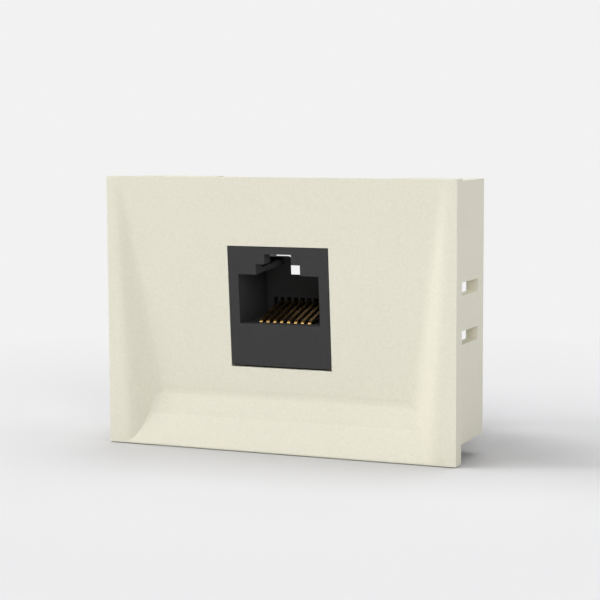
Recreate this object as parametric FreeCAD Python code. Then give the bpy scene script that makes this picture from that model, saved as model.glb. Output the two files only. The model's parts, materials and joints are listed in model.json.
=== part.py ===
import FreeCAD, Part
import math
import os

# Data outlet module: an ivory plate with a tilted panel, and a snap-in socket for an eight-way plug.
# Plate frame while modelling: X to the right, Y backwards from the front face, Z up from the bottom edge.
# Socket frame: origin at the port's centre on the panel, X to the right, Y along the plug's way in, Z up.
# Every solid is moved at the end, so that the row's origin is the seat on the back of the bottom lip.

# Plate outline
plate_width = 50.5
plate_height = 37.0
flange_thickness = 2.2
flange_edge_radius = 0.06

# Open-backed skirt behind the flange
skirt_depth = 12.3
skirt_wall = 1.6
skirt_side_inset = 0.2
skirt_top_inset = 0.26
lip_height = 2.47
top_gap_width = 26.4

# Snap slots, two in each side of the skirt
slot_height = 1.75
slot_spacing = 6.35
slot_rear = 9.75

# Tilted panel with scooped sides, and a ramp of two faces below it
panel_slope = 4.24
panel_top_depth = 0.03
panel_wall = 2.0
border_top = 0.7
border_bottom = 2.4
scoop_run_top = 1.95
scoop_run_bottom = 5.9
scoop_fullness = 0.5
crease_height = 7.0
crease_radius = 2.4
crease_dip = 0.05
ramp_break_height = 4.2
ramp_break_depth = 1.5
ramp_toe_height = 0.25

# Socket face and plug port: heights in the socket frame count from the port's centre
port_centre_height = 20.615
face_width = 14.5
face_above_port = 7.12
face_below_port = 9.1
port_width = 11.66
port_height = 6.72
latch_step_width = 6.4
latch_step_height = 1.42
latch_slot_width = 3.9
latch_slot_height = 1.38

# Socket housing
housing_depth = 13.0
face_wall = 2.0
face_wall_below = 1.4
floor_wall = 1.2
shelf_thickness = 0.74
port_depth = 9.4
back_wall_thickness = 1.0
back_wall_rise = 1.0
roof_gap = 0.3

# Notch for the plug's latch in the port's back wall, and the comb for the contacts' tips below it
notch_width = 4.2
notch_depth = 2.41
notch_flare = 0.7
comb_slot_count = 10
comb_thickness = 2.5
comb_cover = 0.6
comb_slot_height = 2.06
comb_slot_depth = 1.6
comb_slot_clearance = 0.1

# Fixed lug above and spring latch below, which hold the socket in the plate
lug_width = 9.0
lug_front = 6.5
lug_length = 1.5
lug_rise = 1.75
lug_bevel = 0.7
latch_width = 8.0
latch_thickness = 1.1
latch_drop = 2.7
hook_rise = 1.5
hook_tip = 0.6
latch_tail_length = 4.6

# Pocket for the socket on the back of the panel
pocket_depth = 9.8
pocket_wall = 1.5
socket_clearance = 0.08
face_gap_below = 0.27
window_clearance = 0.1
latch_room = 0.3

# Plug contacts: strip bent round a nose, with a leg down through the board
contact_count = 8
contact_pitch = 1.016
contact_width = 0.4
contact_thickness = 0.34
contact_clearance = 0.06
nose_front = 1.95
nose_radius = 0.45
nose_rise = 0.14
contact_rise = 11.3
contact_reach = 10.6
leg_bend_radius = 0.3
leg_row_front = 5.2
leg_row_spacing = 2.5
pin_stub = 0.7

# Contact carrier and circuit board
carrier_drop = 0.21
board_drop = 1.94
board_thickness = 1.2
board_front = 3.0
fit_clearance = 0.05

# Wire terminals: forked blades in two rows
terminals_per_row = 4
terminal_pitch = 3.1
terminal_edge_margin = 0.58
terminal_thickness = 0.5
terminal_width = 2.3
terminal_pin_width = 0.6
terminal_slit_width = 0.35
terminal_slit_depth = 4.6
terminal_mouth_width = 1.1
terminal_recess = 1.2

# Terminal block, which hangs below the back of the board
block_gap = 0.6
block_base = 2.0
block_end_wall = 1.5
tower_height = 8.0
tower_width = 3.9
tower_slot_width = 1.1
tower_slot_depth = 5.4
tower_flare = 0.7
tower_bevel = 0.8
tongue_front = 4.0
stub_room = 0.3
nub_length = 2.9
nub_height = 1.0
nub_rise = 0.8
nub_flat = 1.0
nub_setback = 1.5

# Length by which a cutting block runs past the face it opens
overrun = 1.0

# Worked out from the sizes above
slope = math.radians(panel_slope)
half_width = plate_width / 2
crease_depth = panel_top_depth + (plate_height - crease_height) * math.tan(slope)
ramp_slope = math.atan2(crease_depth - ramp_break_depth, crease_height - ramp_break_height)
skirt_half = half_width - skirt_side_inset
skirt_top = plate_height - skirt_top_inset
seat = FreeCAD.Vector(0, flange_thickness, lip_height / 2)

face_half = face_width / 2
cavity_half = port_width / 2
insert_half = cavity_half - fit_clearance
port_top = port_height / 2
port_bottom = -port_height / 2
step_top = port_top + latch_step_height
slot_top = step_top + latch_slot_height
shelf_top = port_top + shelf_thickness
back_wall_top = port_top + back_wall_rise
back_wall_rear = port_depth + back_wall_thickness
comb_slot_top = port_bottom + comb_slot_height
floor_top = floor_wall - face_below_port

nose_top = port_bottom + nose_rise
leg_height = nose_top - 2 * nose_radius
groove_width = contact_width + 2 * contact_clearance
leg_hole_radius = math.hypot(contact_width, contact_thickness) / 2 + contact_clearance
carrier_top = port_bottom - carrier_drop
board_top = port_bottom - board_drop
board_bottom = board_top - board_thickness

block_start = housing_depth + block_gap
block_end = block_start + (terminals_per_row - 1) * terminal_pitch + tower_slot_width + 2 * block_end_wall
base_bottom = board_bottom - block_base
tower_tip = base_bottom - tower_height
terminal_shoulder = base_bottom + block_base / 2
terminal_row_offset = insert_half - terminal_edge_margin

lug_back = lug_front + lug_length
lug_top = face_above_port + lug_rise
latch_bottom = -face_below_port - latch_drop
hook_front = lug_front - hook_rise
pocket_half = face_half + socket_clearance
pocket_top = face_above_port + socket_clearance
pocket_floor = latch_bottom - latch_room
opening_bottom = -face_below_port - face_gap_below


def vector(x, y, z):
    return FreeCAD.Vector(x, y, z)


def both_sides(half):
    return (-half, half)


def about(centre, width):
    return (centre - width / 2, centre + width / 2)


def box(x_span, y_span, z_span):
    """Block between three pairs of limits."""
    size = [high - low for low, high in (x_span, y_span, z_span)]
    return Part.makeBox(*size, vector(x_span[0], y_span[0], z_span[0]))


def prism(corners, along):
    """Flat outline of corner points, carried along a vector."""
    return Part.Face(Part.makePolygon(corners + corners[:1])).extrude(along)


def side_profile(points, x_span):
    """Outline in the YZ plane, carried along X."""
    corners = [vector(x_span[0], y, z) for y, z in points]
    return prism(corners, vector(x_span[1] - x_span[0], 0, 0))


def fuse(shapes):
    return shapes[0].multiFuse(shapes[1:]).removeSplitter()


def cut(shape, tools):
    return shape.cut(Part.makeCompound(tools)).removeSplitter()


def panel_depth(height):
    """Depth of the panel's plane behind the front face, at a height on the plate."""
    return panel_top_depth + (plate_height - height) * math.tan(slope)


def on_panel(shape):
    """Place a solid of the socket frame on the tilted panel."""
    port = vector(0, panel_depth(port_centre_height), port_centre_height)
    turn = FreeCAD.Rotation(vector(1, 0, 0), panel_slope)
    placed = shape.copy()
    placed.Placement = FreeCAD.Placement(port, turn).multiply(placed.Placement)
    return placed


def save(node, shape):
    """Move a solid to the row's origin and write it."""
    moved = shape.copy()
    moved.translate(-seat)
    moved.exportStep(f"parts/{node}.step")
    print(node, len(moved.Solids), moved.isValid(), round(moved.Volume, 3))


# Front plate

def scoop_span(height):
    """Rim and foot of the scooped sides at one height, measured from the middle."""
    share = height / plate_height
    rim = half_width - border_bottom + (border_bottom - border_top) * share
    return rim, rim - scoop_run_bottom + (scoop_run_bottom - scoop_run_top) * share


def scoop_section(height):
    """Closed outline of the recess at one height: flat floor and S-shaped sides, open to the front."""
    edge, foot = scoop_span(height)
    run = edge - foot
    depth = panel_depth(height)

    def line(start, end):
        return Part.makeLine(vector(*start, height), vector(*end, height))

    def side(sign):
        curve = Part.BezierCurve()
        pull = run * scoop_fullness
        poles = [(edge, 0), (edge - pull, 0), (foot + pull, depth), (foot, depth)]
        curve.setPoles([vector(sign * x, y, height) for x, y in poles])
        return curve.toShape()

    edges = [line((-edge, -overrun), (-edge, 0)), side(-1), line((-foot, depth), (foot, depth)), side(1),
             line((edge, 0), (edge, -overrun)), line((edge, -overrun), (-edge, -overrun))]
    return Part.Wire(Part.__sortEdges__(edges))


def ramp():
    """Solid left standing below the panel: two faces that come forward to the plate's bottom edge."""
    crease = (crease_depth, crease_height)
    upper_run = (crease_depth - ramp_break_depth) / (crease_height - ramp_break_height)
    behind = (skirt_depth, crease_height + (skirt_depth - crease_depth) / upper_run)
    return side_profile(
        [(0, ramp_toe_height), (ramp_break_depth, ramp_break_height), crease, behind,
         (skirt_depth, -overrun), (-overrun, -overrun), (-overrun, ramp_toe_height)],
        both_sides(half_width))


def crease_centre():
    """Depth and height of the round's centre: one radius from the ramp, and a little less from the panel."""
    reach = crease_radius - crease_dip
    turn = math.sin(ramp_slope + slope)
    forward = (reach * math.sin(ramp_slope) + crease_radius * math.sin(slope)) / turn
    upward = (crease_radius * math.cos(slope) - reach * math.cos(ramp_slope)) / turn
    return crease_depth - forward, crease_height + upward


def crease_round(half):
    """Cylinder along the crease that touches the ramp's upper face and dips into the panel."""
    return Part.makeCylinder(crease_radius, 2 * half, vector(-half, *crease_centre()), vector(1, 0, 0))


def crease_fill():
    """Material in the corner of panel and ramp, behind the round."""
    depth, height = crease_centre()
    reach = crease_radius - crease_dip
    at_ramp = (depth + crease_radius * math.cos(ramp_slope), height - crease_radius * math.sin(ramp_slope))
    at_panel = (depth + reach * math.cos(slope), height + reach * math.sin(slope))
    corner = side_profile([(crease_depth, crease_height), at_ramp, at_panel], both_sides(half_width))
    return corner.cut(crease_round(half_width))


def recess():
    """Space cut out of the plate's front, from the scooped panel down to the ramp."""
    past_edge = panel_top_depth
    sections = [scoop_section(-past_edge), scoop_section(plate_height + past_edge)]
    space = Part.makeLoft(sections, True, True).cut(Part.makeCompound([ramp(), crease_fill()]))
    return space.fuse(crease_round(scoop_span(crease_height)[1]))


def flange():
    body = box(both_sides(half_width), (0, flange_thickness), (0, plate_height))
    front_edges = [edge for edge in body.Edges if edge.BoundBox.YMax < flange_thickness / 2]
    return body.makeFillet(flange_edge_radius, front_edges)


def skirt():
    """Open tube behind the flange."""
    outer = box(both_sides(skirt_half), (flange_thickness, skirt_depth), (lip_height, skirt_top))
    inner = box(both_sides(skirt_half - skirt_wall), (0, skirt_depth + overrun),
                (lip_height + skirt_wall, skirt_top - skirt_wall))
    return outer.cut(inner)


def panel_backing():
    """Wall of even thickness behind the tilted panel, across the whole skirt."""
    front = flange_thickness / 2
    return side_profile(
        [(front, lip_height), (panel_depth(lip_height) + panel_wall, lip_height),
         (panel_depth(skirt_top) + panel_wall, skirt_top), (front, skirt_top)],
        both_sides(skirt_half))


def snap_slots():
    """Openings through both sides of the skirt, right behind the flange."""
    middle = (lip_height + skirt_top) / 2
    inner = skirt_half - skirt_wall
    slots = []
    for height in about(middle, slot_spacing):
        for span in ((inner, half_width), (-half_width, -inner)):
            slots.append(box(span, (flange_thickness, slot_rear), about(height, slot_height)))
    return slots


def top_gap():
    """Break in the skirt's top wall, above the socket."""
    behind_panel = panel_depth(skirt_top) + panel_wall
    return box(both_sides(top_gap_width / 2), (behind_panel, skirt_depth + overrun),
               (skirt_top - skirt_wall, skirt_top + overrun))


def socket_pocket():
    """Tube on the back of the panel that the socket snaps into."""
    return box(both_sides(pocket_half + pocket_wall), (panel_wall / 2, pocket_depth),
               (pocket_floor - pocket_wall, pocket_top + pocket_wall))


def socket_openings():
    """Way through for the socket, room for its spring latch, and windows for its lug and hook."""
    behind = pocket_depth + overrun
    way_through = box(both_sides(pocket_half), (-panel_wall - overrun, behind),
                      (opening_bottom, pocket_top))
    latch_space = box(both_sides(pocket_half), (panel_wall, behind), (pocket_floor, 0))
    back = lug_back + window_clearance
    lug_window = box(both_sides(lug_width / 2 + window_clearance),
                     (lug_front - window_clearance, back), (0, lug_top + overrun))
    hook_window = box(both_sides(latch_width / 2 + window_clearance),
                      (hook_front - window_clearance, back), (pocket_floor - pocket_wall - overrun, 0))
    return [way_through, latch_space, lug_window, hook_window]


def front_plate():
    body = fuse([flange(), skirt(), panel_backing(), on_panel(socket_pocket())])
    openings = [on_panel(opening) for opening in socket_openings()]
    return cut(body, [recess(), top_gap(), *snap_slots(), *openings])


# Socket housing

def contact_positions(count=contact_count):
    """X of a row of places one contact pitch apart, about the middle."""
    middle = (count - 1) / 2
    return [(index - middle) * contact_pitch for index in range(count)]


def plug_port():
    """Opening through the face: plug body, latch step and latch slot."""
    reach = (-overrun, face_wall)
    return [box(both_sides(cavity_half), reach, (port_bottom, port_top)),
            box(both_sides(latch_step_width / 2), reach, (0, step_top)),
            box(both_sides(latch_slot_width / 2), reach, (0, slot_top))]


def housing_shell():
    """Hollow box behind the face, open at the back, with its rear corner stepped down."""
    behind = housing_depth + overrun
    body = box(both_sides(face_half), (0, housing_depth), (-face_below_port, face_above_port))
    upper_hollow = box(both_sides(cavity_half), (face_wall, behind), (port_bottom, slot_top))
    lower_hollow = box(both_sides(cavity_half), (face_wall_below, behind), (floor_top, port_bottom))
    step = box(both_sides(face_half + overrun), (back_wall_rear, behind),
               (shelf_top, face_above_port + overrun))
    return cut(body, [upper_hollow, lower_hollow, step, *plug_port()])


def latch_shelves():
    """Ceiling of the port on both sides of the channel for the plug's latch."""
    inner = latch_step_width / 2
    reach = (face_wall, back_wall_rear)
    spans = ((-cavity_half, -inner), (inner, cavity_half))
    return [box(span, reach, (port_top, shelf_top)) for span in spans]


def latch_notch():
    """Notch in the top of the back wall, which widens to the rear at its sides and bottom."""
    def outline(depth, growth):
        half = notch_width / 2 + growth
        bottom = back_wall_top - notch_depth - growth
        top = back_wall_top + overrun
        corners = [(-half, bottom), (half, bottom), (half, top), (-half, top), (-half, bottom)]
        return Part.makePolygon([vector(x, depth, z) for x, z in corners])

    return Part.makeLoft([outline(port_depth, 0), outline(back_wall_rear, notch_flare)], True, True)


def back_wall():
    """Back of the port: notched wall, comb with blind slots, and a rib that comes down from the roof."""
    across = both_sides(cavity_half)
    wall_span = (port_depth, back_wall_rear)
    bottom = board_top + fit_clearance
    wall = box(across, wall_span, (bottom, back_wall_top)).cut(latch_notch())
    comb = box(across, (port_depth, port_depth + comb_thickness), (bottom, comb_slot_top + comb_cover))
    roof_rib = box(across, wall_span, (back_wall_top + roof_gap, face_above_port))
    slot_width = contact_width + 2 * comb_slot_clearance
    slots = [box(about(x, slot_width), (0, port_depth + comb_slot_depth), (nose_top, comb_slot_top))
             for x in contact_positions(comb_slot_count)]
    return [cut(fuse([wall, comb]), slots), roof_rib]


def lug():
    """Fixed catch above the roof, bevelled where it slides in."""
    return side_profile(
        [(lug_front, slot_top), (lug_front, lug_top - lug_bevel), (lug_front + lug_bevel, lug_top),
         (lug_back, lug_top), (lug_back, slot_top)],
        both_sides(lug_width / 2))


def spring_latch():
    """Springy tongue under the housing: it slopes down to a hook, then runs back as a release tail."""
    root = -face_below_port
    half = latch_thickness / 2
    tail_end = lug_back + latch_tail_length
    return side_profile(
        [(face_wall, root + half), (face_wall, root - half), (hook_front, latch_bottom),
         (lug_back - hook_tip, latch_bottom - hook_rise), (lug_back, latch_bottom - hook_rise),
         (lug_back, latch_bottom), (tail_end, latch_bottom), (tail_end, latch_bottom + latch_thickness),
         (hook_front, latch_bottom + latch_thickness)],
        both_sides(latch_width / 2))


def nub_middle():
    """Depth and height at the middle of the snap nubs that hold the terminal block."""
    return (housing_depth - nub_setback - nub_length / 2, (board_bottom + floor_top) / 2)


def nub_windows():
    depth, height = nub_middle()
    return box(both_sides(face_half + overrun), about(depth, nub_length + 2 * fit_clearance),
               about(height, nub_height + 2 * fit_clearance))


def jack_housing():
    body = fuse([housing_shell(), *latch_shelves(), *back_wall(), lug(), spring_latch()])
    return cut(body, [nub_windows()])


# Contacts, their carrier and the board

def leg_depth(index):
    """Depth of a contact's leg: neighbours stand in two rows."""
    return leg_row_front + (index % 2) * leg_row_spacing


def contact(index, x):
    """Formed strip: sloping spring leg, nose, lower leg, and a tail down through the board."""
    rise = math.radians(contact_rise)
    along = vector(0, math.cos(rise), math.sin(rise))
    outward = vector(0, -math.sin(rise), math.cos(rise))
    centre = vector(x, nose_front + nose_radius, nose_top - nose_radius)
    upper = centre + outward * nose_radius
    tip = upper + along * ((contact_reach - upper.y) / math.cos(rise))
    nose = centre - vector(0, nose_radius, 0)
    under = centre - vector(0, 0, nose_radius)
    bend_centre = vector(x, leg_depth(index) - leg_bend_radius, leg_height - leg_bend_radius)
    bend_start = bend_centre + vector(0, 0, leg_bend_radius)
    half_way = math.sqrt(0.5) * leg_bend_radius
    bend_middle = bend_centre + vector(0, half_way, half_way)
    bend_end = bend_centre + vector(0, leg_bend_radius, 0)
    foot = vector(x, bend_end.y, board_bottom - pin_stub)
    path = Part.Wire([
        Part.makeLine(tip, upper), Part.Arc(upper, nose, under).toShape(), Part.makeLine(under, bend_start),
        Part.Arc(bend_start, bend_middle, bend_end).toShape(), Part.makeLine(bend_end, foot)])
    across = vector(contact_width / 2, 0, 0)
    half = outward * (contact_thickness / 2)
    corners = [tip - across - half, tip + across - half, tip + across + half, tip - across + half]
    return path.makePipe(Part.Face(Part.makePolygon(corners + corners[:1])))


def contact_carrier():
    """Insert under the port: each contact's nose and lower leg lie in a groove of it."""
    body = box(both_sides(insert_half), (face_wall_below + fit_clearance, port_depth - fit_clearance),
               (board_top, carrier_top))
    grooves = []
    for index, x in enumerate(contact_positions()):
        across = about(x, groove_width)
        leg = about(leg_depth(index), groove_width)
        grooves.append(box(across, (0, leg[1]), (leg_height - groove_width / 2, 0)))
        grooves.append(box(across, leg, (board_top - overrun, 0)))
    return cut(body, grooves)


def terminal_places():
    """X and depth of every wire terminal: one row on each side of the block."""
    first = block_start + block_end_wall + tower_slot_width / 2
    return [(side * terminal_row_offset, first + place * terminal_pitch)
            for side in (-1, 1) for place in range(terminals_per_row)]


def circuit_board():
    body = box(both_sides(insert_half), (board_front, block_end), (board_bottom, board_top))
    height = (board_bottom - overrun, board_top + overrun)
    through = board_thickness + 2 * overrun
    holes = [Part.makeCylinder(leg_hole_radius, through, vector(x, leg_depth(index), height[0]))
             for index, x in enumerate(contact_positions())]
    gap = 2 * contact_clearance
    slots = [box(about(x, terminal_thickness + gap), about(y, terminal_pin_width + gap), height)
             for x, y in terminal_places()]
    return cut(body, holes + slots)


# Wire terminals and their block

def wire_terminal(x, y):
    """Forked blade: a pin up through the board, and a slit with a flared mouth for the wire."""
    pin = terminal_pin_width / 2
    half = terminal_width / 2
    slit = terminal_slit_width / 2
    mouth = terminal_mouth_width / 2
    top = board_top + pin_stub
    tip = tower_tip + terminal_recess
    flare_end = tip + 2 * (mouth - slit)
    right_half = [(slit, tip + terminal_slit_depth), (slit, flare_end), (mouth, tip), (half, tip),
                  (half, terminal_shoulder), (pin, terminal_shoulder), (pin, top)]
    left_half = [(-across, height) for across, height in reversed(right_half)]
    return side_profile([(y + across, height) for across, height in left_half + right_half],
                        about(x, terminal_thickness))


def tower_row(side):
    """Row of posts below the base, with a flared wire slot at each terminal."""
    inner = terminal_row_offset - tower_width / 2
    outer = min(terminal_row_offset + tower_width / 2, face_half)
    span = tuple(sorted((side * inner, side * outer)))
    row = side_profile(
        [(block_start, base_bottom), (block_start, tower_tip + tower_bevel),
         (block_start + tower_bevel, tower_tip), (block_end - tower_bevel, tower_tip),
         (block_end, tower_tip + tower_bevel), (block_end, base_bottom)],
        span)
    half = tower_slot_width / 2
    past = (span[0] - overrun, span[1] + overrun)
    height = (tower_tip - overrun, tower_tip + tower_slot_depth)
    slots = []
    for y in (place[1] for place in terminal_places() if place[0] * side > 0):
        slots.append(box(past, about(y, tower_slot_width), height))
        slots.append(side_profile([(y - half - tower_flare, tower_tip), (y, tower_tip + tower_flare + half),
                                   (y + half + tower_flare, tower_tip)], past))
    return cut(row, slots)


def snap_nub(side):
    """Wedge on the tongue's edge that clicks into the housing's window."""
    depth, height = nub_middle()
    front, back = about(depth, nub_length)
    root = insert_half - nub_rise
    tip = insert_half + nub_rise
    outline = [(root, front), (insert_half, front), (tip, back - nub_flat), (tip, back), (root, back)]
    corners = [vector(side * x, y, height - nub_height / 2) for x, y in outline]
    return prism(corners, vector(0, 0, nub_height))


def terminal_seats():
    """Slot in the block round each terminal's blade and pin."""
    gap = 2 * fit_clearance
    seats = []
    for x, y in terminal_places():
        across = about(x, terminal_thickness + gap)
        seats.append(box(across, about(y, terminal_width + gap), (tower_tip - overrun, terminal_shoulder)))
        seats.append(box(across, about(y, terminal_pin_width + gap), (base_bottom, board_bottom + overrun)))
    return seats


def terminal_block():
    """Base under the back of the board, a tongue into the housing, and two rows of towers."""
    base = box(both_sides(face_half), (block_start, block_end), (base_bottom, board_bottom))
    tongue = box(both_sides(insert_half), (tongue_front, block_start),
                 (floor_top + fit_clearance, board_bottom))
    pieces = [base, tongue]
    for side in (-1, 1):
        pieces += [snap_nub(side), tower_row(side)]
    legs = contact_positions()
    stub_pocket = box((legs[0] - contact_width - stub_room, legs[-1] + contact_width + stub_room),
                      (leg_depth(0) - contact_width - stub_room, leg_depth(1) + contact_width + stub_room),
                      (board_bottom - pin_stub - stub_room, board_bottom + overrun))
    return cut(fuse(pieces), [stub_pocket, *terminal_seats()])


def main():
    os.makedirs("parts", exist_ok=True)
    save("front_plate", front_plate())
    save("jack_housing", on_panel(jack_housing()))
    save("contact_carrier", on_panel(contact_carrier()))
    save("circuit_board", on_panel(circuit_board()))
    save("terminal_block", on_panel(terminal_block()))
    for index, x in enumerate(contact_positions()):
        save(f"contact_{index + 1}", on_panel(contact(index, x)))
    for index, (x, y) in enumerate(terminal_places()):
        save(f"wire_terminal_{index + 1}", on_panel(wire_terminal(x, y)))


main()
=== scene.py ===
"""Looks of a snap-in data outlet.

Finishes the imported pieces, adds solder and tracks to the circuit board, and sets up the stage.
"""

import json
import math

import bpy
import numpy as np
from bpy.props import FloatProperty, FloatVectorProperty, PointerProperty
from mathutils import Matrix, Vector


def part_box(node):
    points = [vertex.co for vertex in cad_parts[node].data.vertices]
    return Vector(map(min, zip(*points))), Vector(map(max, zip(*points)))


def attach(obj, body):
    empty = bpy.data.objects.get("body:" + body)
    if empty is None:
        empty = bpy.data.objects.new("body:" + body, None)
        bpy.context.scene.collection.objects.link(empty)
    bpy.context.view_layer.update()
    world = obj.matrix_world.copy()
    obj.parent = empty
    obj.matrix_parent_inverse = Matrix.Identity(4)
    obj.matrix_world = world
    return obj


bl_info = {
    "name": "Data outlet looks",
    "version": (1, 0, 0),
    "blender": (4, 5, 0),
    "location": "View3D > Sidebar > Outlet",
    "description": "Finishes a snap-in data outlet and sets up its studio",
    "category": "Object",
}

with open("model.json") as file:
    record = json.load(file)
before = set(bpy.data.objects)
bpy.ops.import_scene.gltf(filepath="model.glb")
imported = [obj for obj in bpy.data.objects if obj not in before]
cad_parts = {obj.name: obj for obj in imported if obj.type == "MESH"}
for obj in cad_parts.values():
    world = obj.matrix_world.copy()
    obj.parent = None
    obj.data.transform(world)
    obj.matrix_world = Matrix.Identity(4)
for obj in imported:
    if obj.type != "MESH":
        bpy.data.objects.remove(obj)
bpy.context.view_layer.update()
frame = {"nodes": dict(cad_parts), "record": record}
plate_low, plate_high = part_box("front_plate")

BODY = "root"
MM = 0.001

# Fine detail of the finishes
NOISE_RANGE = (0.3, 0.7)
GRAIN_DETAIL = 3.0
DRIFT_SIZE = 9 * MM
DRIFT_SHARE = 0.25
PLASTIC_GLOSS_SWING = 0.04
METAL_GLOSS_SWING = 0.08
STREAK_SIZE = 0.25 * MM
STREAK_SHADE = 0.85
WEAVE_SIZE = 0.5 * MM
WEAVE_SHADES = (0.8, 1.2)
FACE_SLOPES = (0.5, 0.6)
LAYER_SIZE = 1.2 * MM
LAYER_DISTORTION = 1.5
LAYER_COLOURS = ((0.30, 0.27, 0.12, 1), (0.42, 0.38, 0.20, 1))
LAMINATE_ROUGHNESS = 0.8
MASK_ROUGHNESS = 0.28
TRACK_DRIFT_SIZE = 0.8 * MM
TRACK_SHADES = (2.2, 2.8)
TRACK_ROUGHNESS = (0.2, 0.3)

# Fineness of the solder's surface
PROFILE_POINTS = 9
RING_POINTS = 24

# Studio
SENSOR_WIDTH = 36
CLIP_NEAR = 0.01
CLIP_FAR = 20
FLOOR_HALF = 3.0
OCCLUSION_SAMPLES = 8


class OutletFinish(bpy.types.PropertyGroup):
    """Colours and surface sizes of the outlet's own pieces."""

    ivory: FloatVectorProperty(
        name="Ivory", description="Colour of the moulded plate", subtype="COLOR", size=4,
        min=0, max=1, default=(0.775, 0.750, 0.624, 1))
    ivory_roughness: FloatProperty(
        name="Ivory roughness", description="Roughness of the moulded plate", subtype="FACTOR",
        min=0, max=1, default=0.5)
    ivory_sheen: FloatProperty(
        name="Ivory sheen", description="Strength of the mirror-like part of the moulded plate",
        subtype="FACTOR", min=0, max=1, default=0.5)
    # Also sets how strong the painted shade in the mould's pits is.
    ivory_mottle: FloatProperty(
        name="Ivory mottle", description="How far the plate's tone strays from its colour",
        subtype="FACTOR", min=0, max=1, default=0.09)
    black: FloatVectorProperty(
        name="Black", description="Colour of the socket's mouldings", subtype="COLOR", size=4,
        min=0, max=1, default=(0.042, 0.042, 0.042, 1))
    black_roughness: FloatProperty(
        name="Black roughness", description="Roughness of the socket's mouldings", subtype="FACTOR",
        min=0, max=1, default=0.6)
    black_sheen: FloatProperty(
        name="Black sheen", description="Strength of the mirror-like part of the socket's mouldings",
        subtype="FACTOR", min=0, max=1, default=0.15)
    # Also sets how strong the painted shade in the mould's pits is.
    black_mottle: FloatProperty(
        name="Black mottle", description="How far the tone of the mouldings strays from their colour",
        subtype="FACTOR", min=0, max=1, default=0.15)
    gold: FloatVectorProperty(
        name="Gold", description="Colour of the plated contacts", subtype="COLOR", size=4,
        min=0, max=1, default=(0.38, 0.235, 0.08, 1))
    gold_roughness: FloatProperty(
        name="Gold roughness", description="Roughness of the plated contacts", subtype="FACTOR",
        min=0, max=1, default=0.35)
    tin: FloatVectorProperty(
        name="Tin", description="Colour of the tinned terminals and the solder", subtype="COLOR", size=4,
        min=0, max=1, default=(0.60, 0.60, 0.58, 1))
    tin_roughness: FloatProperty(
        name="Tin roughness", description="Roughness of the tinned terminals", subtype="FACTOR",
        min=0, max=1, default=0.35)
    solder_roughness: FloatProperty(
        name="Solder roughness", description="Roughness of the solder", subtype="FACTOR",
        min=0, max=1, default=0.22)
    solder_mask: FloatVectorProperty(
        name="Solder mask", description="Colour of the circuit board's faces", subtype="COLOR", size=4,
        min=0, max=1, default=(0.012, 0.10, 0.04, 1))
    grain_size: FloatProperty(
        name="Grain size", description="Width of one pit of the moulded texture", unit="LENGTH",
        min=0.02 * MM, max=2 * MM, default=0.35 * MM)
    grain_depth: FloatProperty(
        name="Grain depth", description="Depth of the moulded texture", unit="LENGTH",
        min=0, max=0.1 * MM, default=0.008 * MM)


class OutletBoard(bpy.types.PropertyGroup):
    """Sizes of the tracks and the solder on the circuit board."""

    track_width: FloatProperty(
        name="Track width", description="Width of a copper track", unit="LENGTH", default=0.45 * MM)
    track_height: FloatProperty(
        name="Track height", description="Rise of a track above the board", unit="LENGTH",
        default=0.035 * MM)
    track_lane: FloatProperty(
        name="Lane spacing", description="Between tracks that run side by side", unit="LENGTH",
        default=0.9 * MM)
    track_inset: FloatProperty(
        name="Lane inset", description="Added to every lane's distance from the board's middle",
        unit="LENGTH", default=0.18 * MM)
    track_start: FloatProperty(
        name="Track start", description="Depth in the socket where the tracks begin", unit="LENGTH",
        default=9.7 * MM)
    solder_radius: FloatProperty(
        name="Solder radius", description="Radius of a solder joint on the board", unit="LENGTH",
        default=0.78 * MM)
    solder_neck: FloatProperty(
        name="Solder neck", description="Radius of a solder joint at its top", unit="LENGTH",
        default=0.4 * MM)
    solder_height: FloatProperty(
        name="Solder height", description="Climb of the solder up a pin", unit="LENGTH",
        default=0.55 * MM)


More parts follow.
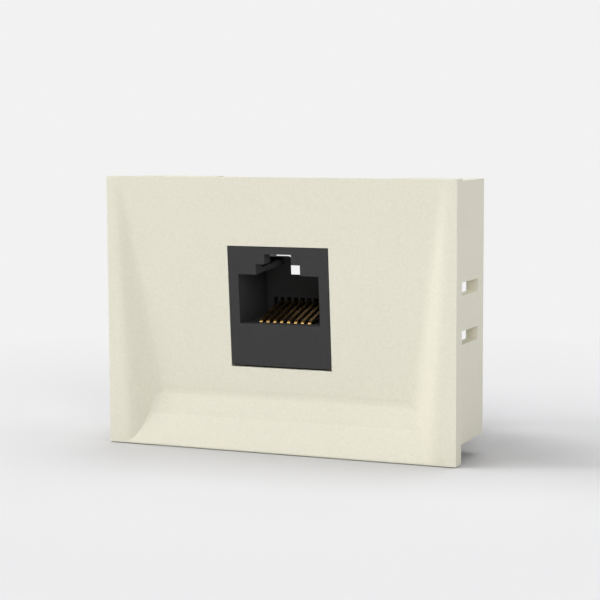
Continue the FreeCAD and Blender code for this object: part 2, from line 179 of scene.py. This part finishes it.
class OutletStage(bpy.types.PropertyGroup):
    """Camera, floor and light."""

    camera_yaw: FloatProperty(
        name="Camera yaw", description="Turn of the view to the plate's right side", subtype="ANGLE",
        default=math.radians(22.85))
    camera_tilt: FloatProperty(
        name="Camera tilt", description="Height of the view above the horizon", subtype="ANGLE",
        default=math.radians(5.95))
    camera_roll: FloatProperty(
        name="Camera roll", description="Roll of the picture", subtype="ANGLE", default=math.radians(-0.25))
    camera_distance: FloatProperty(
        name="Camera distance", description="From the plate's centre", unit="LENGTH", default=231.07 * MM)
    camera_right: FloatProperty(
        name="Camera right", description="Move of the camera across the picture", unit="LENGTH",
        default=3.31 * MM)
    camera_up: FloatProperty(
        name="Camera up", description="Move of the camera up the picture", unit="LENGTH", default=2.26 * MM)
    camera_lens: FloatProperty(
        name="Lens", description="Focal length on a 36 mm sensor", unit="CAMERA", default=104.17)
    backdrop: FloatVectorProperty(
        name="Backdrop", description="Colour of the backdrop in the picture", subtype="COLOR", size=4,
        min=0, max=1, default=(0.888, 0.888, 0.888, 1))
    floor: FloatVectorProperty(
        name="Floor", description="Colour of the floor", subtype="COLOR", size=4,
        min=0, max=1, default=(0.86, 0.86, 0.876, 1))
    floor_gap: FloatProperty(
        name="Floor gap", description="Room under the plate's bottom edge", unit="LENGTH",
        default=0.1 * MM)
    fade_start: FloatProperty(
        name="Fade start", description="Distance at which the floor begins to run out into the backdrop",
        unit="LENGTH", default=40 * MM)
    fade_end: FloatProperty(
        name="Fade end", description="Distance at which the floor has the backdrop's colour", unit="LENGTH",
        default=140 * MM)
    # Painted shadow on the floor: its colour is darkened near the object, over this reach and by this depth.
    painted_shadow_reach: FloatProperty(
        name="Painted shadow reach", description="Distance over which the object darkens the floor", unit="LENGTH",
        default=24 * MM)
    painted_shadow_depth: FloatProperty(
        name="Painted shadow depth", description="How much the object darkens the floor beside it", subtype="FACTOR",
        min=0, max=1, default=0.5)
    key: FloatProperty(
        name="Key", description="Strength of the four soft lamps on the left", min=0, default=2.975)
    front: FloatProperty(
        name="Front", description="Strength of the two soft lamps by the camera", min=0, default=1.305)
    right: FloatProperty(
        name="Right", description="Strength of the soft lamp on the right", min=0, default=0.476)
    back: FloatProperty(
        name="Back", description="Strength of the high soft lamp behind", min=0, default=0.85)


# Node helpers

def new_material(name):
    """Material with an empty node tree, its Principled BSDF and its output."""
    material = bpy.data.materials.new(name)
    material.use_nodes = True
    nodes = material.node_tree.nodes
    nodes.clear()
    output = nodes.new("ShaderNodeOutputMaterial")
    shader = nodes.new("ShaderNodeBsdfPrincipled")
    material.node_tree.links.new(shader.outputs["BSDF"], output.inputs["Surface"])
    return material, material.node_tree, shader


def add_node(tree, kind, inputs=None, **settings):
    """Node of one kind with its settings; an input is set to a value or linked to a socket."""
    node = tree.nodes.new(kind)
    for name, value in settings.items():
        setattr(node, name, value)
    for name, value in (inputs or {}).items():
        if isinstance(value, bpy.types.NodeSocket):
            tree.links.new(value, node.inputs[name])
        else:
            node.inputs[name].default_value = value
    return node


def noise(tree, place, size, detail=2.0):
    """Noise value whose pattern repeats about once in a size given in metres."""
    node = add_node(tree, "ShaderNodeTexNoise", {"Vector": place, "Scale": 1 / size, "Detail": detail})
    return node.outputs["Fac"]


def mix_colour(tree, factor, first, second):
    """Colour between two colours, at a factor that is 0 for the first and 1 for the second."""
    node = add_node(tree, "ShaderNodeMix", data_type="RGBA")
    for socket, value in (("Factor", factor), ("A", first), ("B", second)):
        target = next(s for s in node.inputs if s.name == socket and s.enabled)
        if isinstance(value, bpy.types.NodeSocket):
            tree.links.new(value, target)
        else:
            target.default_value = value
    return next(s for s in node.outputs if s.enabled)


def value_range(tree, value, low, high, to_low=0.0, to_high=1.0):
    """Value carried over from one range to another, and held at its ends."""
    node = add_node(tree, "ShaderNodeMapRange", {
        "Value": value, "From Min": low, "From Max": high, "To Min": to_low, "To Max": to_high})
    return node.outputs["Result"]


def shaded(colour, factor):
    """Colour with its red, green and blue multiplied by one factor."""
    return (*(channel * factor for channel in colour[:3]), 1.0)


def grain_and_pit_shade():
    """Node group: the fine pits of a spark-eroded mould, and a tone with painted shade that darkens the low
    pits, over the plastic's own slow random drift.
    """
    name = "Moulded grain and pit shade"
    if name in bpy.data.node_groups:
        return bpy.data.node_groups[name]
    group = bpy.data.node_groups.new(name, "ShaderNodeTree")
    group.interface.new_socket("Grain Size", in_out="INPUT", socket_type="NodeSocketFloat")
    group.interface.new_socket("Height", in_out="OUTPUT", socket_type="NodeSocketFloat")
    group.interface.new_socket("Tone and pit shade", in_out="OUTPUT", socket_type="NodeSocketFloat")
    source = add_node(group, "NodeGroupInput")
    result = add_node(group, "NodeGroupOutput")
    place = add_node(group, "ShaderNodeTexCoord").outputs["Object"]
    scale = add_node(group, "ShaderNodeMath", {0: 1.0, 1: source.outputs["Grain Size"]}, operation="DIVIDE")
    pits = add_node(group, "ShaderNodeTexNoise", {
        "Vector": place, "Scale": scale.outputs[0], "Detail": GRAIN_DETAIL})
    group.links.new(pits.outputs["Fac"], result.inputs["Height"])
    drift = noise(group, place, DRIFT_SIZE, GRAIN_DETAIL)
    # Painted shade: the tone is darker where the pits lie low, added to the plastic's own slow random drift
    # in tone.
    drift_and_pit_shade = add_node(group, "ShaderNodeMath", {
        0: drift, 1: DRIFT_SHARE, 2: pits.outputs["Fac"]}, operation="MULTIPLY_ADD")
    group.links.new(value_range(group, drift_and_pit_shade.outputs[0], 0.0, 1 + DRIFT_SHARE), result.inputs["Tone and pit shade"])
    return group


def grain_bump(tree, grain, depth):
    """Normal bumped by the moulded grain, to a depth in metres."""
    bump = add_node(tree, "ShaderNodeBump", {"Height": grain.outputs["Height"], "Distance": depth})
    return bump.outputs["Normal"]


# Finishes

def moulded_plastic(name, colour, roughness, sheen, mottle, finish):
    """Moulded plastic: the mould's fine pits break up its gloss, and painted shade in the pits mottles its
    tone over its own slow drift.
    """
    material, tree, shader = new_material(name)
    grain = add_node(tree, "ShaderNodeGroup", {"Grain Size": finish.grain_size}, node_tree=grain_and_pit_shade())
    # The tone carries painted shade in the mould's pits as well as the plastic's own random drift.
    tone = mix_colour(tree, grain.outputs["Tone and pit shade"], shaded(colour, 1 - mottle), shaded(colour, 1 + mottle))
    tree.links.new(tone, shader.inputs["Base Color"])
    rough = value_range(tree, grain.outputs["Height"], *NOISE_RANGE,
                        roughness - PLASTIC_GLOSS_SWING, roughness + PLASTIC_GLOSS_SWING)
    tree.links.new(rough, shader.inputs["Roughness"])
    tree.links.new(grain_bump(tree, grain, finish.grain_depth), shader.inputs["Normal"])
    shader.inputs["Specular IOR Level"].default_value = sheen
    return material


def plated_metal(name, colour, roughness):
    """Plated metal with faint streaks in its tone and gloss."""
    material, tree, shader = new_material(name)
    place = add_node(tree, "ShaderNodeTexCoord").outputs["Object"]
    streaks = noise(tree, place, STREAK_SIZE)
    tone = mix_colour(tree, streaks, shaded(colour, STREAK_SHADE), colour)
    tree.links.new(tone, shader.inputs["Base Color"])
    rough = value_range(tree, streaks, *NOISE_RANGE,
                        roughness - METAL_GLOSS_SWING, roughness + METAL_GLOSS_SWING)
    tree.links.new(rough, shader.inputs["Roughness"])
    shader.inputs["Metallic"].default_value = 1.0
    return material


def board_finish(colour):
    """Circuit board: solder mask on its two faces, and pale laminate with layers on its cut edges."""
    material, tree, shader = new_material("Board")
    coordinates = add_node(tree, "ShaderNodeTexCoord")
    place = coordinates.outputs["Object"]
    upward = add_node(tree, "ShaderNodeSeparateXYZ", {"Vector": coordinates.outputs["Normal"]}).outputs["Z"]
    facing = add_node(tree, "ShaderNodeMath", {0: upward}, operation="ABSOLUTE").outputs[0]
    face = value_range(tree, facing, *FACE_SLOPES)
    weave = noise(tree, place, WEAVE_SIZE)
    mask = mix_colour(tree, weave, *(shaded(colour, shade) for shade in WEAVE_SHADES))
    layers = add_node(tree, "ShaderNodeTexWave", {
        "Vector": place, "Scale": 1 / LAYER_SIZE, "Distortion": LAYER_DISTORTION}, bands_direction="Z")
    laminate = mix_colour(tree, layers.outputs["Fac"], *LAYER_COLOURS)
    tree.links.new(mix_colour(tree, face, laminate, mask), shader.inputs["Base Color"])
    rough = value_range(tree, face, 0, 1, LAMINATE_ROUGHNESS, MASK_ROUGHNESS)
    tree.links.new(rough, shader.inputs["Roughness"])
    return material


def track_finish(colour):
    """Copper under solder mask: the board's green, lighter and glossier, with a slight drift in tone."""
    material, tree, shader = new_material("Track")
    place = add_node(tree, "ShaderNodeTexCoord").outputs["Object"]
    drift = noise(tree, place, TRACK_DRIFT_SIZE)
    tone = mix_colour(tree, drift, *(shaded(colour, shade) for shade in TRACK_SHADES))
    tree.links.new(tone, shader.inputs["Base Color"])
    rough = value_range(tree, drift, *NOISE_RANGE, *TRACK_ROUGHNESS)
    tree.links.new(rough, shader.inputs["Roughness"])
    return material


def dress(material, *nodes):
    """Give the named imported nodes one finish."""
    for node in nodes:
        slots = frame["nodes"][node].data.materials
        slots.clear()
        slots.append(material)


def numbered(stem):
    """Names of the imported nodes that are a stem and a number."""
    return sorted(name for name in frame["nodes"] if name.startswith(stem) and name[len(stem):].isdigit())


# The socket's own axes, from the mount of its port

def socket_axes():
    """Port's centre, and unit vectors across it, along the plug's way in, and up."""
    port = next(mount for mount in frame["record"]["mounts"] if mount["name"] == "plug_port")
    along = -np.array(port["axis"])
    across = np.array((1.0, 0.0, 0.0))
    return np.array(port["pos_m"]), np.stack((across, along, np.cross(across, along)))


def socket_box(node):
    """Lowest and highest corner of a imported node, measured along the socket's axes."""
    vertices = frame["nodes"][node].data.vertices
    points = np.empty(len(vertices) * 3)
    vertices.foreach_get("co", points)
    origin, axes = socket_axes()
    local = (points.reshape(-1, 3) - origin) @ axes.T
    return local.min(0), local.max(0)


def pin_places():
    """X and depth, along the socket's axes, of the eight pins that stand up through the board."""
    corners = np.array([socket_box(node) for node in numbered("wire_terminal_")])
    return corners.mean(1)[:, :2]


# Surfaces

def add_piece(name, points, faces, material, slot, smooth):
    """Mesh object at the origin that rides with the socket; its points are given along the socket's axes."""
    origin, axes = socket_axes()
    mesh = bpy.data.meshes.new(name)
    mesh.from_pydata((origin + points @ axes).tolist(), [], faces)
    mesh.polygons.foreach_set("use_smooth", np.full(len(mesh.polygons), smooth))
    mesh.materials.append(material)
    piece = bpy.data.objects.new(name, mesh)
    bpy.context.scene.collection.objects.link(piece)
    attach(piece, BODY)


def revolved(radii, heights, segments):
    """Closed surface (r cos a, r sin a, h): a profile of radii and heights turned about the vertical.

    The profile's first and last points lie on the axis and become the two poles.
    """
    angle = np.linspace(0, 2 * np.pi, segments, endpoint=False)
    ring = radii[1:-1, None]
    around = np.stack((ring * np.cos(angle), ring * np.sin(angle), heights[1:-1, None] + 0 * angle), -1)
    poles = np.array([(0, 0, heights[0]), (0, 0, heights[-1])])
    points = np.concatenate((around.reshape(-1, 3), poles))
    index = np.arange(around.shape[0] * segments).reshape(-1, segments)
    ahead = np.roll(index, -1, axis=1)
    quads = np.stack((index[:-1], ahead[:-1], ahead[1:], index[1:]), -1).reshape(-1, 4)
    bottom = np.full(segments, len(points) - 2)
    lower = np.stack((bottom, ahead[0], index[0]), -1)
    upper = np.stack((bottom + 1, index[-1], ahead[-1]), -1)
    return points, quads.tolist() + lower.tolist() + upper.tolist()


def carried(path, profile):
    """Closed strip: a flat profile (offset, height) carried along a path (x, y) with mitred bends.

    At a bend the offset runs along (s + t) / (1 + s.t), where s and t are the sideways unit vectors of
    its two runs.
    """
    run = np.diff(path, axis=0)
    run /= np.linalg.norm(run, axis=1, keepdims=True)
    side = np.stack((run[:, 1], -run[:, 0]), -1)
    before = np.concatenate((side[:1], side))
    after = np.concatenate((side, side[-1:]))
    mitre = (before + after) / (1 + (before * after).sum(1, keepdims=True))
    flat = path[:, None] + mitre[:, None] * profile[None, :, :1]
    height = np.broadcast_to(profile[None, :, 1:], (*flat.shape[:2], 1))
    points = np.concatenate((flat, height), -1).reshape(-1, 3)
    index = np.arange(len(points)).reshape(len(path), -1)
    ahead = np.roll(index, -1, axis=1)
    quads = np.stack((index[:-1], index[1:], ahead[1:], ahead[:-1]), -1).reshape(-1, 4)
    return points, quads.tolist() + [index[0].tolist(), index[-1][::-1].tolist()]


def gathered(shapes):
    """Points and faces of several shapes as one."""
    points, faces, start = [], [], 0
    for shape_points, shape_faces in shapes:
        points.append(shape_points)
        faces += [[start + corner for corner in face] for face in shape_faces]
        start += len(shape_points)
    return np.concatenate(points), faces


# Pieces

class OUTLET_OT_plate(bpy.types.Operator):
    """Finish the ivory plate."""
    bl_idname = "outlet.plate"
    bl_label = "Front plate"

    def execute(self, context):
        finish = context.scene.outlet_finish
        plastic = moulded_plastic("Ivory plastic", finish.ivory, finish.ivory_roughness, finish.ivory_sheen,
                                  finish.ivory_mottle, finish)
        dress(plastic, "front_plate")
        return {"FINISHED"}


class OUTLET_OT_socket(bpy.types.Operator):
    """Finish the socket's black mouldings."""
    bl_idname = "outlet.socket"
    bl_label = "Socket mouldings"

    def execute(self, context):
        finish = context.scene.outlet_finish
        plastic = moulded_plastic("Black plastic", finish.black, finish.black_roughness, finish.black_sheen,
                                  finish.black_mottle, finish)
        dress(plastic, "jack_housing", "contact_carrier", "terminal_block")
        return {"FINISHED"}


class OUTLET_OT_metal(bpy.types.Operator):
    """Plate the plug contacts with gold and the wire terminals with tin."""
    bl_idname = "outlet.metal"
    bl_label = "Contacts and terminals"

    def execute(self, context):
        finish = context.scene.outlet_finish
        gold = plated_metal("Gold plating", finish.gold, finish.gold_roughness)
        tin = plated_metal("Tin plating", finish.tin, finish.tin_roughness)
        dress(gold, *numbered("contact_"))
        dress(tin, *numbered("wire_terminal_"))
        return {"FINISHED"}


class OUTLET_OT_board(bpy.types.Operator):
    """Finish the circuit board."""
    bl_idname = "outlet.board"
    bl_label = "Circuit board"

    def execute(self, context):
        finish = context.scene.outlet_finish
        dress(board_finish(finish.solder_mask), "circuit_board")
        return {"FINISHED"}


class OUTLET_OT_solder(bpy.types.Operator):
    """Solder the terminals' pins to the board."""
    bl_idname = "outlet.solder"
    bl_label = "Solder joints"

    def execute(self, context):
        """Meniscus: r = R - (R - n) sin t and h = H (1 - cos t), flat on the board and upright at the pin."""
        sizes = context.scene.outlet_board
        finish = context.scene.outlet_finish
        turn = np.linspace(0, np.pi / 2, PROFILE_POINTS)
        radii = sizes.solder_radius - (sizes.solder_radius - sizes.solder_neck) * np.sin(turn)
        heights = sizes.solder_height * (1 - np.cos(turn))
        radii = np.concatenate(((0,), radii, (0,)))
        heights = np.concatenate(((0,), heights, (sizes.solder_height,)))
        board_top = socket_box("circuit_board")[1][2]
        points, faces = revolved(radii, heights, RING_POINTS)
        joints = [(points + (x, y, board_top), faces) for x, y in pin_places()]
        solder = plated_metal("Solder", finish.tin, finish.solder_roughness)
        add_piece("solder_joints", *gathered(joints), solder, "terminal_metal", True)
        return {"FINISHED"}


class OUTLET_OT_tracks(bpy.types.Operator):
    """Lay the copper tracks that run from the contacts to the terminals' pins."""
    bl_idname = "outlet.tracks"
    bl_label = "Board tracks"

    def execute(self, context):
        """Each track runs straight back in its own lane, then turns by 45 degrees to its pin."""
        sizes = context.scene.outlet_board
        board_top = socket_box("circuit_board")[1][2]
        half = sizes.track_width / 2
        slant = sizes.track_height
        profile = np.array([(-half, 0), (-half + slant, slant), (half - slant, slant), (half, 0)])
        profile += (0, board_top)
        tracks = []
        for side in (-1, 1):
            row = [place for place in pin_places() if place[0] * side > 0]
            for number, pin in enumerate(row):
                lane = side * (sizes.track_lane * (len(row) - number) + sizes.track_inset)
                bend = pin[1] - abs(pin[0] - lane)
                path = np.array([(lane, sizes.track_start), (lane, bend), pin])
                tracks.append(carried(path, profile))
        finish = track_finish(context.scene.outlet_finish.solder_mask)
        add_piece("board_tracks", *gathered(tracks), finish, "board_green", False)
        return {"FINISHED"}


# Stage

def view_axes(stage):
    """Unit vectors to the right and up in the picture, and from the object back to the camera."""
    yaw, tilt, roll = stage.camera_yaw, stage.camera_tilt, stage.camera_roll
    back = Vector((math.sin(yaw) * math.cos(tilt), -math.cos(yaw) * math.cos(tilt), math.sin(tilt)))
    across = Vector((math.cos(yaw), math.sin(yaw), 0))
    upward = back.cross(across)
    right = math.cos(roll) * across + math.sin(roll) * upward
    up = math.cos(roll) * upward - math.sin(roll) * across
    return right, up, back


def plate_centre():
    """Middle of the plate's front face."""
    return Vector(((plate_low.x + plate_high.x) / 2, plate_low.y, (plate_low.z + plate_high.z) / 2))


def add_camera(stage):
    """Camera at the stage's angles, moved across and up the picture, and back from the plate's centre."""
    right, up, back = view_axes(stage)
    data = bpy.data.cameras.new("Camera")
    data.lens = stage.camera_lens
    data.sensor_width = SENSOR_WIDTH
    data.clip_start = CLIP_NEAR
    data.clip_end = CLIP_FAR
    camera = bpy.data.objects.new("Camera", data)
    turn = Matrix((right, up, back)).transposed().to_4x4()
    place = plate_centre() + right * stage.camera_right + up * stage.camera_up + back * stage.camera_distance
    camera.matrix_world = Matrix.Translation(place) @ turn
    bpy.context.scene.collection.objects.link(camera)
    bpy.context.scene.camera = camera


def add_lamp(name, stage, turn, height, spread, strength):
    """Distant soft lamp; its turn to the right of the view, height and spread are in degrees."""
    data = bpy.data.lights.new(name, "SUN")
    data.angle = math.radians(spread)
    data.energy = strength
    lamp = bpy.data.objects.new(name, data)
    yaw = stage.camera_yaw + math.radians(turn)
    level = math.cos(math.radians(height))
    toward = Vector((math.sin(yaw) * level, -math.cos(yaw) * level, math.sin(math.radians(height))))
    lamp.rotation_euler = toward.to_track_quat("Z", "Y").to_euler()
    bpy.context.scene.collection.objects.link(lamp)


def seen_directly(tree):
    """One for rays from the camera, a mirror or a clear piece, and nought for rays that gather light."""
    path = add_node(tree, "ShaderNodeLightPath")
    mirrored = add_node(tree, "ShaderNodeMath", {
        0: path.outputs["Is Glossy Ray"], 1: path.outputs["Is Transmission Ray"]}, operation="MAXIMUM")
    return add_node(tree, "ShaderNodeMath", {
        0: path.outputs["Is Camera Ray"], 1: mirrored.outputs[0]}, operation="MAXIMUM").outputs[0]


def add_world(stage):
    """Pale backdrop, seen by the camera, in mirrors and through clear pieces only."""
    world = bpy.data.worlds.new("Studio")
    bpy.context.scene.world = world
    world.use_nodes = True
    tree = world.node_tree
    tree.nodes.clear()
    backdrop = add_node(tree, "ShaderNodeBackground", {
        "Color": tuple(stage.backdrop), "Strength": seen_directly(tree)})
    output = add_node(tree, "ShaderNodeOutputWorld")
    tree.links.new(backdrop.outputs[0], output.inputs["Surface"])


def floor_finish(stage):
    """Pale floor with painted shadow, darker close to the object, that runs out into the backdrop's colour
    away from it.
    """
    material, tree, shader = new_material("Floor")
    # Painted shadow: ambient occlusion darkens the floor's colour close to the object.
    open_sky = add_node(tree, "ShaderNodeAmbientOcclusion", {"Distance": stage.painted_shadow_reach},
                        samples=OCCLUSION_SAMPLES)
    depth = value_range(tree, open_sky.outputs["AO"], 0.0, 1.0, 1 - stage.painted_shadow_depth, 1.0)
    tone = mix_colour(tree, depth, (0, 0, 0, 1), tuple(stage.floor))
    tree.links.new(tone, shader.inputs["Base Color"])
    shader.inputs["Roughness"].default_value = 1.0
    shader.inputs["Specular IOR Level"].default_value = 0.0
    place = add_node(tree, "ShaderNodeTexCoord").outputs["Object"]
    away = add_node(tree, "ShaderNodeVectorMath", {0: place}, operation="LENGTH").outputs["Value"]
    fade = value_range(tree, away, stage.fade_start, stage.fade_end)
    share = add_node(tree, "ShaderNodeMath", {0: fade, 1: seen_directly(tree)}, operation="MULTIPLY")
    glow = add_node(tree, "ShaderNodeEmission", {"Color": tuple(stage.backdrop), "Strength": 1.0})
    chosen = add_node(tree, "ShaderNodeMixShader", {"Fac": share.outputs[0]})
    tree.links.new(shader.outputs[0], chosen.inputs[1])
    tree.links.new(glow.outputs[0], chosen.inputs[2])
    output = next(node for node in tree.nodes if node.type == "OUTPUT_MATERIAL")
    tree.links.new(chosen.outputs[0], output.inputs["Surface"])
    return material


def add_floor(stage):
    """Square floor just under the plate's bottom edge."""
    level = plate_low.z - stage.floor_gap
    mesh = bpy.data.meshes.new("floor")
    corners = np.array([(-1, -1, 0), (1, -1, 0), (1, 1, 0), (-1, 1, 0)]) * FLOOR_HALF + (0, 0, level)
    mesh.from_pydata(corners.tolist(), [], [(0, 1, 2, 3)])
    mesh.materials.append(floor_finish(stage))
    floor = bpy.data.objects.new("floor", mesh)
    bpy.context.scene.collection.objects.link(floor)


class OUTLET_OT_stage(bpy.types.Operator):
    """Set up the camera, the floor, the backdrop and the lamps."""
    bl_idname = "outlet.stage"
    bl_label = "Studio"

    def execute(self, context):
        stage = context.scene.outlet_stage
        context.scene.view_settings.view_transform = "Standard"
        add_camera(stage)
        add_world(stage)
        add_floor(stage)
        add_lamp("Key low", stage, turn=-90, height=16, spread=20, strength=0.24 * stage.key)
        add_lamp("Key back", stage, turn=-118, height=30, spread=20, strength=0.30 * stage.key)
        add_lamp("Key front", stage, turn=-62, height=30, spread=20, strength=0.23 * stage.key)
        add_lamp("Key top", stage, turn=-90, height=46, spread=20, strength=0.23 * stage.key)
        add_lamp("Front", stage, turn=5, height=28, spread=34, strength=0.69 * stage.front)
        add_lamp("Front low", stage, turn=35, height=8, spread=34, strength=0.31 * stage.front)
        add_lamp("Right", stage, turn=80, height=38, spread=45, strength=stage.right)
        add_lamp("Back", stage, turn=150, height=62, spread=45, strength=stage.back)
        return {"FINISHED"}


class OUTLET_PT_panel(bpy.types.Panel):
    """Sidebar list of the outlet's pieces."""
    bl_idname = "OUTLET_PT_panel"
    bl_label = "Data outlet"
    bl_space_type = "VIEW_3D"
    bl_region_type = "UI"
    bl_category = "Outlet"

    def draw(self, context):
        for operator in OPERATORS:
            self.layout.operator(operator.bl_idname)


GROUPS = (OutletFinish, OutletBoard, OutletStage)
OPERATORS = (OUTLET_OT_plate, OUTLET_OT_socket, OUTLET_OT_metal, OUTLET_OT_board, OUTLET_OT_solder,
             OUTLET_OT_tracks, OUTLET_OT_stage)
CLASSES = (*GROUPS, *OPERATORS, OUTLET_PT_panel)


def register():
    for entry in CLASSES:
        bpy.utils.register_class(entry)
    bpy.types.Scene.outlet_finish = PointerProperty(type=OutletFinish)
    bpy.types.Scene.outlet_board = PointerProperty(type=OutletBoard)
    bpy.types.Scene.outlet_stage = PointerProperty(type=OutletStage)


def unregister():
    del bpy.types.Scene.outlet_stage
    del bpy.types.Scene.outlet_board
    del bpy.types.Scene.outlet_finish
    for entry in reversed(CLASSES):
        bpy.utils.unregister_class(entry)


def main():
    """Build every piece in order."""
    register()
    bpy.ops.outlet.plate()
    bpy.ops.outlet.socket()
    bpy.ops.outlet.metal()
    bpy.ops.outlet.board()
    bpy.ops.outlet.solder()
    bpy.ops.outlet.tracks()
    bpy.ops.outlet.stage()


if __name__ == "__main__":
    main()
